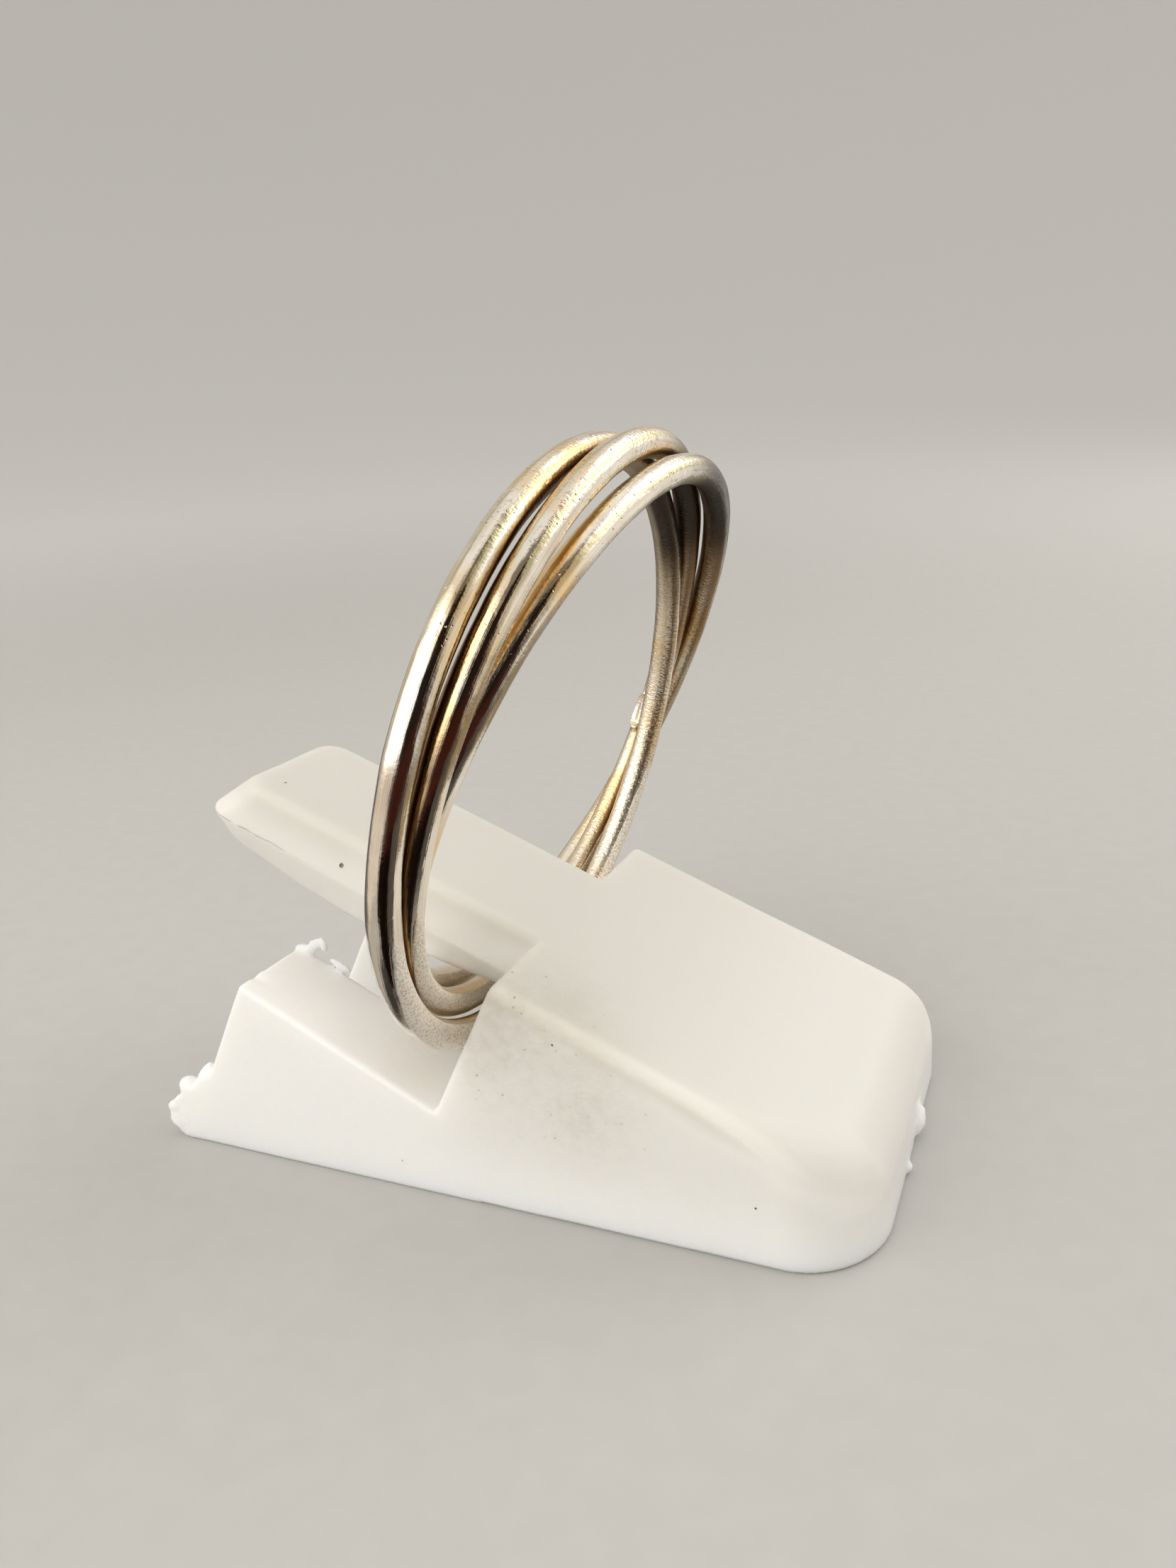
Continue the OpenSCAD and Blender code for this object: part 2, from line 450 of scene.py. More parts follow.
def unevenness(obj, name, size, height, group="", middle=0.5):
    """Moves the surface in and out by a soft cloud pattern, in millimetres."""
    clouds = bpy.data.textures.new(name, "CLOUDS")
    clouds.noise_scale = size
    clouds.noise_depth = 1
    bumps = obj.modifiers.new(name, "DISPLACE")
    bumps.texture = clouds
    bumps.texture_coords = "LOCAL"
    bumps.strength = height
    bumps.mid_level = middle
    bumps.vertex_group = group


# %% Uneven faces and torn marks
KEPT_FACES = 0.5
co = vertex_array(stand)
torn = soft_step(co[:, 0], THICK_END + 0.5, THICK_END - 0.2)
torn = torn * soft_step(co[:, 1], FRONT + 2.0, FRONT + 1.5)
torn = np.maximum(torn, patch(co, (CURL_X + 0.8, CURL_Y, 6.7), 0.9, 0.4))
torn = np.maximum(torn, patch(co, (STAND_L / 2, NUB_Y, NUB_Z), 1.0, 0.6))
group_from(stand, "torn", torn)
group_from(stand, "puffy", patch(co, (STEP.x + 0.9, FRONT, 6.2), 1.9, 0.2, (0.7, 1, 0.6)))
unevenness(stand, "torn_plastic", 0.36, 0.16, "torn")
unevenness(stand, "puffy_corner", 0.8, 0.07, "puffy")
unevenness(stand, "sunken_faces", 4.0, 0.05, middle=0.58)
thin = stand.modifiers.new("thin", "DECIMATE")
thin.ratio = KEPT_FACES
apply_modifiers(stand)
stand.vertex_groups.clear()
print("vertices kept:", len(stand.data.vertices))

# %% [markdown]
# The front leg's top has one small dent, as from a fingernail. It is too small to cut with another
# solid, so the vertices near it sink by a soft bell curve. The underside then gets pressed flat: the
# stand has to sit on the floor with no gap.

# %% The dent in the leg's top, and a flat underside
DENT_AT = np.array((THICK_END + 3.8, FRONT + 0.9, 6.6))
DENT_SIZE = (0.35, 0.16, 0.3)
DENT_DEPTH = 0.11
co = vertex_array(stand)
dent = DENT_DEPTH * np.exp(-(((co - DENT_AT) / DENT_SIZE) ** 2).sum(axis=1))
co -= dent[:, None] * np.array(LEG_NORMAL)
co[:, 2] = np.maximum(co[:, 2], 0)
stand.data.vertices.foreach_set("co", co.ravel())
edit(stand)
under = pick(stand, lambda m, v: m.z < 0.03)
bpy.ops.transform.resize(value=(1, 1, 0), center_override=(0, 0, 0))
close_edit()
to_real_size(stand)
bpy.ops.object.shade_smooth()
print("stand triangles:", sum(len(f.vertices) - 2 for f in stand.data.polygons),
      "flat vertices below:", under, "box, mm:", [round(v / MM, 2) for v in stand.dimensions])
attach(stand, "root")
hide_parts("display_stand")

# %% [markdown]
# Each band is a loop of round wire. A circle could be swept along a curve, but a torus primitive is
# the same form with an even net of faces and a UV map whose U runs along the wire and V around it.
# Handmade wire is never quite round, so a shallow displacement lets the highlights wander a little.

# %% The bands
BAND_R = 10.0
WIRE_R = 0.5
ALONG = 720
AROUND = 48
BAND_POSES = {
    "band_front": ((0.65, 0.05, 13.7), -1, 14),
    "band_middle": ((0.75, 1.1, 14.05), 1, 20),
    "band_back": ((0.5, 2.3, 13.6), -1, 26.5),
}


def band_matrix(node):
    """Stands a band up, leans its top to the right, turns it and puts it in its place."""
    centre, turn, lean = BAND_POSES[node]
    leaned = Matrix.Rotation(math.radians(90 + lean), 4, "Y")
    turned = Matrix.Rotation(math.radians(turn), 4, "Z") @ leaned
    return Matrix.Translation(centre) @ turned


bands = {}
for node in BAND_POSES:
    bpy.ops.mesh.primitive_torus_add(major_radius=BAND_R, minor_radius=WIRE_R, major_segments=ALONG,
                                     minor_segments=AROUND, location=(0, 0, 0))
    bands[node] = name_new("silver_" + node)
print("faces in a band:", ALONG * AROUND)

# %% [markdown]
# On the inside of the middle band, at the far side, is a small raised oval. It stays blank here. It
# could be a separate ring laid on the wire, but it was stamped into it. So the faces under it are
# cut finer, and each vertex moves out along its own normal by the height of the rim at that point.

# %% The blank oval on the middle band
OVAL_ALONG = 79.6
OVAL_AROUND = -150.0
OVAL_HALF_LENGTH = 0.78
OVAL_HALF_WIDTH = 0.40
FINE_HALF_LENGTH = 1.15
FINE_HALF_WIDTH = 0.70
RIM_HEIGHT = 0.085
RIM_WIDTH = 0.16
FIELD_DEPTH = 0.04


def oval_place(x, y, z):
    """How far a point of the wire lies from the oval's middle, along and around the wire, in mm."""
    along = np.radians((np.degrees(np.arctan2(y, x)) - OVAL_ALONG + 180) % 360 - 180) * BAND_R
    around = np.degrees(np.arctan2(z, np.hypot(x, y) - BAND_R))
    return along, np.radians((around - OVAL_AROUND + 180) % 360 - 180) * WIRE_R


def near_oval(m, face):
    """True for a face whose middle lies under the oval or just beside it."""
    along, around = oval_place(m.x, m.y, m.z)
    return abs(along) < FINE_HALF_LENGTH and abs(around) < FINE_HALF_WIDTH


middle = bands["band_middle"]
edit(middle, "FACE")
cut = pick(middle, near_oval, "faces")
bpy.ops.mesh.subdivide(number_cuts=3)
close_edit()
print("faces cut finer:", cut)

# %% Raise the oval's rim and sink its field
co = vertex_array(middle)
along, around = oval_place(*co.T)
out = np.stack([co[:, 0], co[:, 1], np.zeros(len(co))], axis=1)
out *= (1 - BAND_R / np.linalg.norm(out, axis=1))[:, None]
out[:, 2] = co[:, 2]
out /= np.linalg.norm(out, axis=1)[:, None]
r = np.hypot(along / OVAL_HALF_LENGTH, around / OVAL_HALF_WIDTH)
lip = 1 + 0.5 * soft_step(along, 0.2, -0.8)
rim = RIM_HEIGHT * lip * np.exp(-((r - 1) / RIM_WIDTH) ** 2)
height = rim - FIELD_DEPTH * soft_step(r, 1.0, 0.75)
round_co = np.stack([co[:, 0], co[:, 1], 0 * along], axis=1)
round_co *= (BAND_R / np.linalg.norm(round_co, axis=1))[:, None]
co = round_co + out * (WIRE_R + height)[:, None]
middle.data.vertices.foreach_set("co", co.ravel())
print("rim, mm:", round(float(height.max()), 3))

# %% [markdown]
# Each band gets waves of its own size, so the three don't match. The pattern follows the mesh before
# it is posed, and it sinks more than it rises, so no wire grows into its neighbour.

# %% Wire that isn't quite even
WAVE_HEIGHT = 0.05
for number, node in enumerate(BAND_POSES):
    band = bands[node]
    unevenness(band, "wire_waves", 1.6 + 0.2 * number, WAVE_HEIGHT, middle=0.72)
    apply_modifiers(band)
    band.matrix_world = band_matrix(node)
    apply_place(band)
print("band box, mm:", [round(v, 2) for v in bands["band_front"].dimensions])

# %% [markdown]
# Tarnish gathers where a cloth can't reach: between the bands, and where they rest in the stand. A
# baked ambient occlusion map would find those places. Measuring is simpler here, because every
# neighbour is a circle, so each vertex stores its distance to the nearest other wire.


# %% Where the tarnish gathers
def wire_distance(points, node):
    """Distance from each point to the middle of a band's wire, in mm."""
    inverse = np.array(band_matrix(node).inverted())
    local = points @ inverse[:3, :3].T + inverse[:3, 3]
    return np.hypot(np.hypot(local[:, 0], local[:, 1]) - BAND_R, local[:, 2])


# %% Store the tuck, and finish the bands
TUCK_FROM, TUCK_FULL = 0.55, 0.03
for node, band in bands.items():
    co = vertex_array(band)
    others = [wire_distance(co, other) for other in BAND_POSES if other != node]
    tuck = soft_step(np.min(others, axis=0) - WIRE_R, TUCK_FROM, TUCK_FULL)
    band.data.attributes.new("tuck", "FLOAT", "POINT").data.foreach_set("value", tuck)
    to_real_size(band)
    bpy.ops.object.shade_smooth()
    low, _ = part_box(node)
    print(node, "tucked away:", round(float((tuck > 0.5).mean()), 3), "lowest point, mm:",
          round(min(v.co.z for v in band.data.vertices) / MM, 3), "in the frame:", round(low.z / MM, 3))
    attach(band, "root")
    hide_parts(node)

# %% [markdown]
# Every finish below is a tree of nodes, from patterns to one shader. The trees could be wired by
# hand, but a lot repeats: a product, a sum, a soft edge, a noise, a tone laid over another. Each of
# these gets a small function here, so that a finish reads as a list of what can be seen on it.


# %% Helpers for materials: links, products and sums
def new_material(name):
    """A material, its tree of nodes and its one shader."""
    material = bpy.data.materials.new(name)
    material.use_nodes = True
    return material, material.node_tree, material.node_tree.nodes["Principled BSDF"]


def feed(tree, socket, value):
    """Links an output to a socket, or sets the socket to a number or a colour."""
    if isinstance(value, bpy.types.NodeSocket):
        tree.links.new(value, socket)
    else:
        socket.default_value = value


def math_node(tree, operation, first, second=0.0, third=0.0):
    """One sum on up to three values, each an output or a number."""
    node = tree.nodes.new("ShaderNodeMath")
    node.operation = operation
    for socket, value in zip(node.inputs, (first, second, third)):
        feed(tree, socket, value)
    return node.outputs[0]


def times(tree, first, second):
    return math_node(tree, "MULTIPLY", first, second)


def add_up(tree, start, parts):
    """A start value, plus each mask times its amount."""
    for mask, amount in parts:
        start = math_node(tree, "MULTIPLY_ADD", mask, amount, start)
    return start


# %% Helpers for materials: soft edges, patterns and places
def fade(tree, value, start, end):
    """0 at start and 1 at end, smoothly."""
    node = tree.nodes.new("ShaderNodeMapRange")
    node.interpolation_type = "SMOOTHSTEP"
    feed(tree, node.inputs["Value"], value)
    node.inputs["From Min"].default_value, node.inputs["From Max"].default_value = start, end
    return node.outputs["Result"]


def fade_mm(tree, value, start, end):
    """The same for a value in metres, between two places in mm."""
    return fade(tree, value, start * MM, end * MM)


def noise(tree, vector, scale, detail=2.0, fourth=None):
    """A cloudy pattern about 0.5. A fourth coordinate lets it close on itself round a wire."""
    node = tree.nodes.new("ShaderNodeTexNoise")
    node.noise_dimensions = "3D" if fourth is None else "4D"
    feed(tree, node.inputs["Vector"], vector)
    node.inputs["Scale"].default_value = scale
    node.inputs["Detail"].default_value = detail
    if fourth is not None:
        feed(tree, node.inputs["W"], fourth)
    return node.outputs["Fac"]


def scattered(tree, vector, scale):
    """Distance to the nearest of many scattered points."""
    node = tree.nodes.new("ShaderNodeTexVoronoi")
    feed(tree, node.inputs["Vector"], vector)
    node.inputs["Scale"].default_value = scale
    return node.outputs["Distance"]


def object_place(tree):
    """The surface point in the frame's metres, whole and as its X, Y and Z."""
    place = tree.nodes.new("ShaderNodeTexCoord").outputs["Object"]
    split = tree.nodes.new("ShaderNodeSeparateXYZ")
    feed(tree, split.inputs[0], place)
    return place, split.outputs


def near(tree, place, point, radius, softness=1.0):
    """1 at a point of the frame, given in mm, fading to 0 at the radius."""
    node = tree.nodes.new("ShaderNodeVectorMath")
    node.operation = "DISTANCE"
    feed(tree, node.inputs[0], place)
    node.inputs[1].default_value = [v * MM for v in point]
    return fade(tree, node.outputs["Value"], radius * MM, radius * MM * (1 - softness))


# %% Helpers for materials: tones and relief
def mix_colour(tree, factor, under, over):
    """The under colour where the factor is 0, and the over colour where it is 1."""
    node = tree.nodes.new("ShaderNodeMix")
    node.data_type = "RGBA"
    for socket, value in ((node.inputs[0], factor), (node.inputs[6], under), (node.inputs[7], over)):
        feed(tree, socket, (*value, 1) if isinstance(value, tuple) and len(value) == 3 else value)
    return node.outputs[2]


def lay_tones(tree, under, tones):
    """Lays tones over a colour in turn. Each has its mask, its strength and its own colour."""
    for mask, strength, colour in tones.values():
        under = mix_colour(tree, times(tree, mask, strength), under, colour)
    return under


def relief(tree, layers):
    """Bumps laid over one another, each with its height and its depth in mm."""
    normal = None
    for height, depth_mm in layers:
        node = tree.nodes.new("ShaderNodeBump")
        feed(tree, node.inputs["Height"], height)
        node.inputs["Distance"].default_value = depth_mm * MM
        if normal is not None:
            feed(tree, node.inputs["Normal"], normal)
        normal = node.outputs["Normal"]
    return normal


# %% [markdown]
# Worn silver is a metal shader, but a single roughness looks like chrome. The real wire has fine
# lengthwise lines from polishing, brassy and brown tarnish, pits and crinkles near the top, and a
# dull skin low down where it rubs. The lines need a coordinate that follows the wire and closes on
# itself. An angle would tear at its seam, so the wire's two angles each become a sine and a cosine.

# %% Coordinates that follow the wire
silver, tree, shader = new_material("worn_silver")
place, axes = object_place(tree)
uv = tree.nodes.new("ShaderNodeUVMap")
uv.uv_map = "UVMap"
split = tree.nodes.new("ShaderNodeSeparateXYZ")
feed(tree, split.inputs[0], uv.outputs["UV"])
along_angle, around_angle = [times(tree, axis, 2 * math.pi) for axis in split.outputs[:2]]
along_cos, along_sin = [math_node(tree, wave, along_angle) for wave in ("COSINE", "SINE")]
around_cos, around_sin = [math_node(tree, wave, around_angle) for wave in ("COSINE", "SINE")]


def along_wire(stretch, narrow, detail=2.0):
    """Noise with features 10 / stretch mm long and 0.5 / narrow mm wide."""
    join = tree.nodes.new("ShaderNodeCombineXYZ")
    waves, sizes = (along_cos, along_sin, around_cos), (stretch, stretch, narrow)
    for socket, wave, size in zip(join.inputs, waves, sizes):
        feed(tree, socket, times(tree, wave, size))
    return noise(tree, join.outputs[0], 1.0, detail, times(tree, around_sin, narrow))


print("silver coordinates:", len(tree.nodes), "nodes")

# %% Patterns of the silver, along the wire and all over
polish_lines = along_wire(3.5, 24.0)
drawn_lines = along_wire(2.2, 7.0)
swells = along_wire(12.0, 1.6, 1.0)
dents = along_wire(40.0, 3.0, 1.0)
stripes = along_wire(1.2, 3.2, 1.0)
crinkles = along_wire(120.0, 3.0)
patches = noise(tree, place, 700, 3)
hues = noise(tree, place, 330, 2)
grain = noise(tree, place, 12000, 2)
rightward = times(tree, around_sin, -1)
inside = fade(tree, around_cos, -0.1, 0.6)
right_side = fade(tree, rightward, 0.35, 0.9)
print("silver patterns:", len(tree.nodes), "nodes")

# %% [markdown]
# Tarnish could be one noise between two colours, but each tone of it has a cause and so a place. The
# skin is dull where the ring rubs on the stand, and gold and brown gather where no cloth comes. The
# rear band's bend gets painted shade, black and brown, on its side turned away. So each mask is a
# pattern, a height or a point, softly bounded.

# %% Where each tone of the silver lies
BLACK_SHADE_AT, BROWN_SHADE_AT = (4.6, 7.0, 21.3), (2.6, 11.4, 17.6)
tuck_lookup = tree.nodes.new("ShaderNodeAttribute")
tuck_lookup.attribute_name = "tuck"
tuck = tuck_lookup.outputs["Fac"]
dull_height = add_up(tree, axes["Z"], [(right_side, -6.0 * MM), (patches, 3.0 * MM)])
dull = fade_mm(tree, dull_height, 7.0, 5.6)
top = fade_mm(tree, axes["Z"], 20.5, 22.8)
olive = times(tree, fade(tree, stripes, 0.50, 0.36), fade_mm(tree, axes["Z"], 15.0, 20.0))
gold = fade(tree, add_up(tree, hues, [(drawn_lines, 0.3), (tuck, 0.35)]), 0.62, 0.90)
brown = fade(tree, add_up(tree, tuck, [(drawn_lines, 0.8)]), 0.85, 1.2)
wrinkled = times(tree, fade(tree, crinkles, 0.42, 0.30), top)
shaded = fade(tree, add_up(tree, rightward, [(hues, 0.6)]), -0.2, 0.5)
# Painted shade, black and brown, on the rear band's bend, on the side turned away from the light.
painted_black_shade = times(tree, near(tree, place, BLACK_SHADE_AT, 6.2, 0.6), shaded)
painted_brown_shade = times(tree, near(tree, place, BROWN_SHADE_AT, 5.0, 0.8), shaded)
crevice = times(tree, fade(tree, tuck, 0.35, 0.75), fade_mm(tree, axes["Z"], 7.5, 5.5))
pitted = times(tree, fade_mm(tree, axes["Z"], 17.0, 21.0),
               fade(tree, noise(tree, place, 1100, 1), 0.50, 0.58))
pits = times(tree, fade(tree, scattered(tree, place, 5200), 0.20, 0.06), pitted)
print("silver masks:", len(tree.nodes), "nodes")

# %% The colours of the silver
bare = mix_colour(tree, fade(tree, patches, 0.38, 0.62), (0.87, 0.83, 0.78), (0.73, 0.67, 0.61))
matte = mix_colour(tree, fade(tree, grain, 0.36, 0.52), (0.72, 0.60, 0.47), (0.98, 0.93, 0.84))
SILVER_TONES = {
    "brassy stripes": (fade(tree, stripes, 0.50, 0.66), 1.0, (0.86, 0.79, 0.67)),
    "olive film": (olive, 0.9, (0.62, 0.57, 0.34)),
    "yellow inside": (inside, 0.5, (0.87, 0.78, 0.58)),
    "gold tarnish": (gold, 0.85, (0.82, 0.57, 0.26)),
    "brown tarnish": (brown, 0.9, (0.20, 0.11, 0.045)),
    "polishing lines": (fade(tree, polish_lines, 0.50, 0.34), 0.2, (0.40, 0.32, 0.22)),
    "wrinkles": (wrinkled, 0.6, (0.34, 0.29, 0.20)),
    # Painted shade on the rear band's bend, in black and in brown.
    "painted black shade on the rear bend": (painted_black_shade, 0.97, (0.045, 0.04, 0.037)),
    "painted brown shade on the rear bend": (painted_brown_shade, 0.6, (0.34, 0.20, 0.10)),
    "dull skin": (dull, 0.85, matte),
    "dirty crevices": (crevice, 0.8, (0.46, 0.35, 0.12)),
    "pits": (pits, 0.8, (0.10, 0.065, 0.035)),
}
feed(tree, shader.inputs["Base Color"], lay_tones(tree, bare, SILVER_TONES))
print("tones of the silver:", len(SILVER_TONES))

# %% The gloss and relief of the silver
SMOOTHEST = 0.09
ROUGHER = [(polish_lines, 0.08), (inside, 0.16), (dull, 0.36), (top, 0.07), (tuck, 0.08)]
feed(tree, shader.inputs["Roughness"], add_up(tree, SMOOTHEST, ROUGHER))
feed(tree, shader.inputs["Metallic"], add_up(tree, 1.0, [(dull, -0.5)]))
creased = times(tree, crinkles, math_node(tree, "MAXIMUM", top, inside))
grainy = times(tree, grain, add_up(tree, 0.05, [(dull, 1.0)]))
SILVER_RELIEF = [(swells, 0.022), (dents, 0.004), (drawn_lines, 0.008), (polish_lines, 0.0015),
                 (creased, 0.035), (grainy, 0.06), (times(tree, pits, -1), 0.02)]
feed(tree, shader.inputs["Normal"], relief(tree, SILVER_RELIEF))
for band in bands.values():
    band.data.materials.append(silver)
print("silver nodes:", len(tree.nodes))

# %% [markdown]
# The plastic is a warm white with a satin skin that lets a little light in, so subsurface scattering
# softens its edges. It would look like plaster if it were clean. The photograph shows grey handling
# marks by the step, a thin dirty mould seam on the tongue, and a few stuck specks.
# Some tones are painted light and shade: lighter leg tops and a lighter front ridge, and darker block
# sides. The top's grey wear also carries painted shade.

# %% Patterns of the plastic, and its faces
plastic, tree, shader = new_material("white_moulded_plastic")
place, axes = object_place(tree)


def above_plane(normal, origin):
    """Height in metres above a plane through origin, in mm. It is negative below the plane."""
    node = tree.nodes.new("ShaderNodeVectorMath")
    node.operation = "DOT_PRODUCT"
    feed(tree, node.inputs[0], place)
    node.inputs[1].default_value = normal
    return math_node(tree, "SUBTRACT", node.outputs["Value"], origin.dot(normal) * MM)


clouded = noise(tree, place, 220, 3)
mottle = noise(tree, place, 2600, 3)
fine = noise(tree, place, 15000, 2)
above_top = above_plane(TOP_NORMAL, STEP)
above_top = add_up(tree, above_top, [(fade_mm(tree, axes["X"], 6.0, 12.0), 0.5 * MM)])
above_leg_top = above_plane(LEG_WARP, INNER_EDGE)
print("plastic patterns:", len(tree.nodes), "nodes")

# %% Where the plastic is worn, and where light and shade are painted
# The top is grey from wear, and its darker tone is partly painted shade.
worn_shaded_top = fade_mm(tree, add_up(tree, above_top, [(clouded, 0.8 * MM)]), -0.7, 0.25)
off_top = math_node(tree, "SUBTRACT", 1.0, worn_shaded_top)
tongue_side = times(tree, fade_mm(tree, axes["X"], 1.0, -0.5), fade_mm(tree, axes["Z"], 7.2, 8.2))
# Painted light: a lighter tone on the leg tops, where the tongue and the ring shade them.
lit_leg_tops = times(tree, fade_mm(tree, above_leg_top, -0.25, -0.05), fade_mm(tree, axes["X"], -1.0, -2.0))
# Painted shade: a darker tone on the block's sides, fading out towards the foot.
shaded_block_sides = times(tree, fade_mm(tree, axes["X"], -4.0, 1.5), fade_mm(tree, axes["Z"], 0.3, 3.0))
# Painted highlight: a lighter band along the front ridge, just under the top's edge.
ridge_highlight = times(tree, fade_mm(tree, axes["Y"], FRONT + 0.6, FRONT + 0.2),
                 fade_mm(tree, above_top, -0.5, -0.15))
print("worn places:", len(tree.nodes), "nodes")

# %% Where it was handled
handled = math_node(tree, "MAXIMUM", near(tree, place, (STEP.x + 0.4, FRONT, 6.4), 4.8),
                    near(tree, place, (3.6, FRONT, 4.6), 3.4))
smudge = times(tree, handled, add_up(tree, 0.4, [(fade(tree, mottle, 0.35, 0.75), 0.6)]))
grime = times(tree, near(tree, place, (STEP.x + 2.7, FRONT + 1.1, 7.2), 2.6),
              fade(tree, clouded, 0.3, 0.6))
ingrained = times(tree, times(tree, handled, fade(tree, mottle, 0.45, 0.6)),
                  fade(tree, scattered(tree, place, 2600), 0.15, 0.08))
print("handled places:", len(tree.nodes), "nodes")

# %% [markdown]
# The seam is a hair's width of dirt, caught where the mould's halves met. It could be a groove in the
# mesh, but it is finer than a voxel. So it is a plane parallel to the tongue's top, which wanders by
# a tenth of a millimetre, breaks off in places and fades away from the tip.

# %% The dirty seam on the tongue
SEAM_WANDER = 0.12
off_seam = above_plane(TOP_NORMAL, STEP + TOP_NORMAL * -SEAM_DEPTH)
wander = add_up(tree, -SEAM_WANDER * MM, [(noise(tree, place, 900, 2), 2 * SEAM_WANDER * MM)])
off_seam = math_node(tree, "ABSOLUTE", math_node(tree, "ADD", off_seam, wander))
from_step = above_plane(Vector((math.cos(TOP_SLOPE), 0, -math.sin(TOP_SLOPE))), STEP)
by_tip = fade_mm(tree, from_step, -8.0, -11.5)
broken = fade(tree, noise(tree, place, 1500, 2), 0.36, 0.52)
seam = times(tree, fade_mm(tree, off_seam, 0.045, 0.01), times(tree, by_tip, broken))
print("seam:", len(tree.nodes), "nodes")

# %% [markdown]
# The specks could be tiny solids, but a colour and a low bump read the same at this size. Each is
# given by its place on the moulding and its radius, both in millimetres.

# %% Specks
SPECKS = [
    ((-6.32, -3.1, 10.14), 0.11), ((-9.43, -1.58, 12.54), 0.06), ((-4.55, -4.56, 4.36), 0.06),
    ((-2.48, -4.91, 3.36), 0.06), ((-2.12, -5.23, 3.18), 0.05), ((-3.08, FRONT, 1.05), 0.045),
    ((6.54, FRONT, 5.80), 0.045), ((2.95, FRONT, 6.4), 0.045), ((9.09, FRONT, 2.08), 0.045),
    ((11.0, -5.95, 2.86), 0.06),
]
specks = 0.0
for point, radius in SPECKS:
    specks = math_node(tree, "MAXIMUM", near(tree, place, point, radius, 0.5), specks)
print("specks:", len(SPECKS))

# %% The colours of the plastic
fresh = mix_colour(tree, clouded, (0.88, 0.885, 0.88), (0.85, 0.855, 0.85))
# Grey of the worn top, partly painted shade.
worn_and_shaded = mix_colour(tree, fade_mm(tree, axes["X"], 3.0, 10.0), (0.67, 0.66, 0.62), (0.72, 0.71, 0.675))
PLASTIC_TONES = {
    "sides of the tongue": (tongue_side, 1.0, (0.74, 0.73, 0.70)),
    # Worn top, with painted shade in its grey.
    "worn top with painted shade": (worn_shaded_top, 1.0, worn_and_shaded),
    # Painted light on the leg tops.
    "painted light on the leg tops": (lit_leg_tops, fade_mm(tree, axes["Z"], 7.3, 6.9), (0.97, 0.965, 0.95)),
    # Painted shade on the block's sides.
    "painted shade on the block's sides": (shaded_block_sides, off_top, (0.80, 0.795, 0.77)),
    # Painted highlight along the front ridge.
    "ridge": (ridge_highlight, 0.38, (0.86, 0.85, 0.81)),
    "smudges": (smudge, 0.32, (0.54, 0.45, 0.36)),
    "grime by the step": (grime, 0.42, (0.46, 0.44, 0.34)),
    "ingrained dirt": (ingrained, 0.75, (0.22, 0.17, 0.13)),
    "seam": (seam, 0.45, (0.34, 0.29, 0.22)),
    "specks": (specks, fade(tree, fine, 0.30, 0.45), (0.10, 0.08, 0.05)),
}
feed(tree, shader.inputs["Base Color"], lay_tones(tree, fresh, PLASTIC_TONES))
print("tones of the plastic:", len(PLASTIC_TONES))

# %% The gloss, depth and relief of the plastic
SATIN = 0.34
feed(tree, shader.inputs["Roughness"], add_up(tree, SATIN, [(handled, 0.15), (mottle, 0.18)]))
shader.inputs["Subsurface Weight"].default_value = 0.8
shader.inputs["Subsurface Scale"].default_value = 1.1 * MM
shader.inputs["Subsurface Radius"].default_value = (1, 0.85, 0.65)
shader.inputs["IOR"].default_value = 1.46
PLASTIC_RELIEF = [
    (times(tree, mottle, add_up(tree, 1.0, [(handled, 3.5)])), 0.012),
    (times(tree, fine, add_up(tree, 0.15, [(handled, 1.0)])), 0.03),
    (times(tree, seam, -1), 0.04),
    (specks, 0.05),
]
feed(tree, shader.inputs["Normal"], relief(tree, PLASTIC_RELIEF))
stand.data.materials.clear()
stand.data.materials.append(plastic)
print("plastic nodes:", len(tree.nodes))

# %% [markdown]
# The floor is one sheet of pale paper that curves up in every direction, so no view shows its edge.
# A flat plane would end at a horizon. Here a grid is dished by moving its vertices, and the slope
# grows so slowly that no line shows where the floor ends. The softboxes stand close to the ring and
# leave the paper behind them dark, so the far paper glows faintly, as if it had a lamp of its own.

# %% The sheet of paper
FLOOR_SIZE = 4.0
CUTS = 160
FLAT_RADIUS = 0.1
DISH = 0.2
RIM_RISE = 0.12
bpy.ops.mesh.primitive_grid_add(x_subdivisions=CUTS, y_subdivisions=CUTS, size=FLOOR_SIZE,
                                location=(0, 0, 0))
paper_sheet = name_new("paper_sheet")
co = vertex_array(paper_sheet)
beyond = np.maximum(np.hypot(co[:, 0], co[:, 1]) - FLAT_RADIUS, 0)
co[:, 2] = DISH * beyond ** 2 + RIM_RISE * beyond ** 4
paper_sheet.data.vertices.foreach_set("co", co.ravel())
bpy.ops.object.shade_smooth()
print("paper rises, m:", round(float(co[:, 2].max()), 2))

# %% The paper's finish
GLOW = 0.17
GLOW_FROM, GLOW_FULL = 0.10, 0.34
paper, tree, shader = new_material("pale_paper")
place, _ = object_place(tree)
mottling = noise(tree, place, 900, 3)
pale = mix_colour(tree, mottling, (0.50, 0.495, 0.48), (0.54, 0.535, 0.52))
feed(tree, shader.inputs["Base Color"], pale)
shader.inputs["Roughness"].default_value = 0.9
shader.inputs["Specular IOR Level"].default_value = 0.0
from_ring = tree.nodes.new("ShaderNodeVectorMath")
from_ring.operation = "LENGTH"
feed(tree, from_ring.inputs[0], place)
far = fade(tree, from_ring.outputs["Value"], GLOW_FROM, GLOW_FULL)
shader.inputs["Emission Color"].default_value = (1, 0.98, 0.95, 1)
feed(tree, shader.inputs["Emission Strength"], times(tree, far, GLOW))
